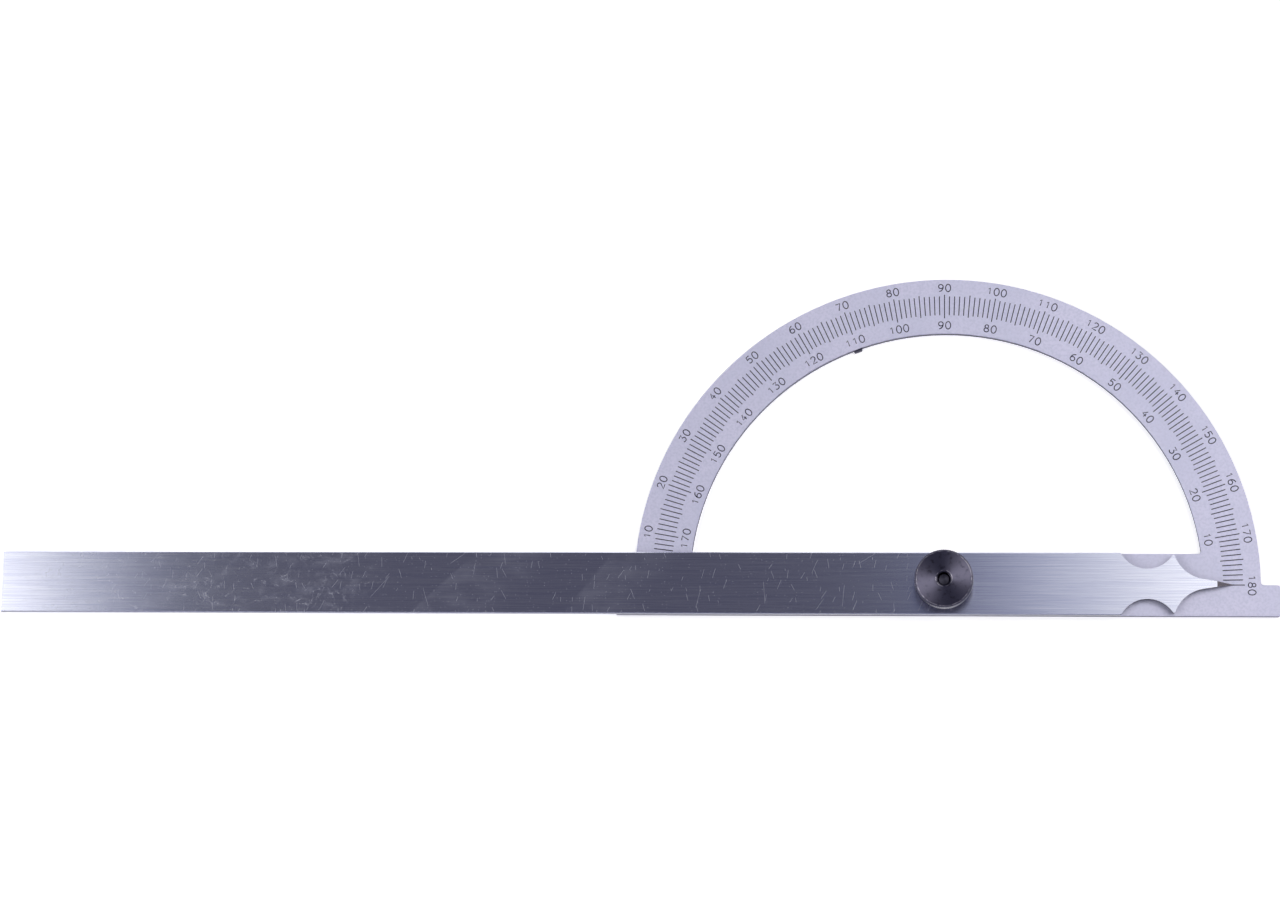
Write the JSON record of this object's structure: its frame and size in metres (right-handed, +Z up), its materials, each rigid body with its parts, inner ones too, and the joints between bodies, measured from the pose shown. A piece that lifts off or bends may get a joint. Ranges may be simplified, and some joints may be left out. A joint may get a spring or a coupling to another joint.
{
  "type": "bevel protractor",
  "caption": "Flat steel protractor with a half-ring degree scale on a straight base and a long pointer blade that swings about a stud and is clamped by a knurled nut.",
  "frame": {"origin": "on the pivot axis at the plate's underside, where the corner of the measured angle lies", "axes": "+X along the base towards the pointer, +Y from the pivot towards the top of the arc, +Z up through plate, blade and nut"},
  "size_m": [0.3111, 0.0825, 0.0131],
  "materials": {
    "plate_steel": "satin chrome plate with dark engraved lines",
    "blade_steel": "ground and brushed along its length",
    "stud_steel": "turned",
    "spring_steel": "plain",
    "black_oxide_steel": "turned and blackened"
  },
  "bodies": {
    "frame": {"protractor_plate": "plate_steel", "pivot_stud": "stud_steel"},
    "blade": {"blade": "blade_steel"},
    "washer": {"spring_washer": "spring_steel"},
    "nut": {"clamp_nut": "black_oxide_steel"}
  },
  "joints": [
    {"name": "blade_swing", "type": "hinge", "parent": "frame", "child": "blade", "pos_m": [0, 0, 0.00305], "axis": [0, 0, 1], "continuous": true},
    {"name": "nut_travel", "type": "slide", "parent": "frame", "child": "washer", "axis": [0, 0, 1], "range_m": [0, 0.0005], "deforming": ["spring_washer"]},
    {"name": "nut_turn", "type": "hinge", "parent": "washer", "child": "nut", "pos_m": [0, 0, 0.0088], "axis": [0, 0, 1], "range_deg": [0, 360]}
  ],
  "couplings": [
    {"joint": "nut_turn", "follows": "nut_travel", "rad_per_m": 12566}
  ]
}
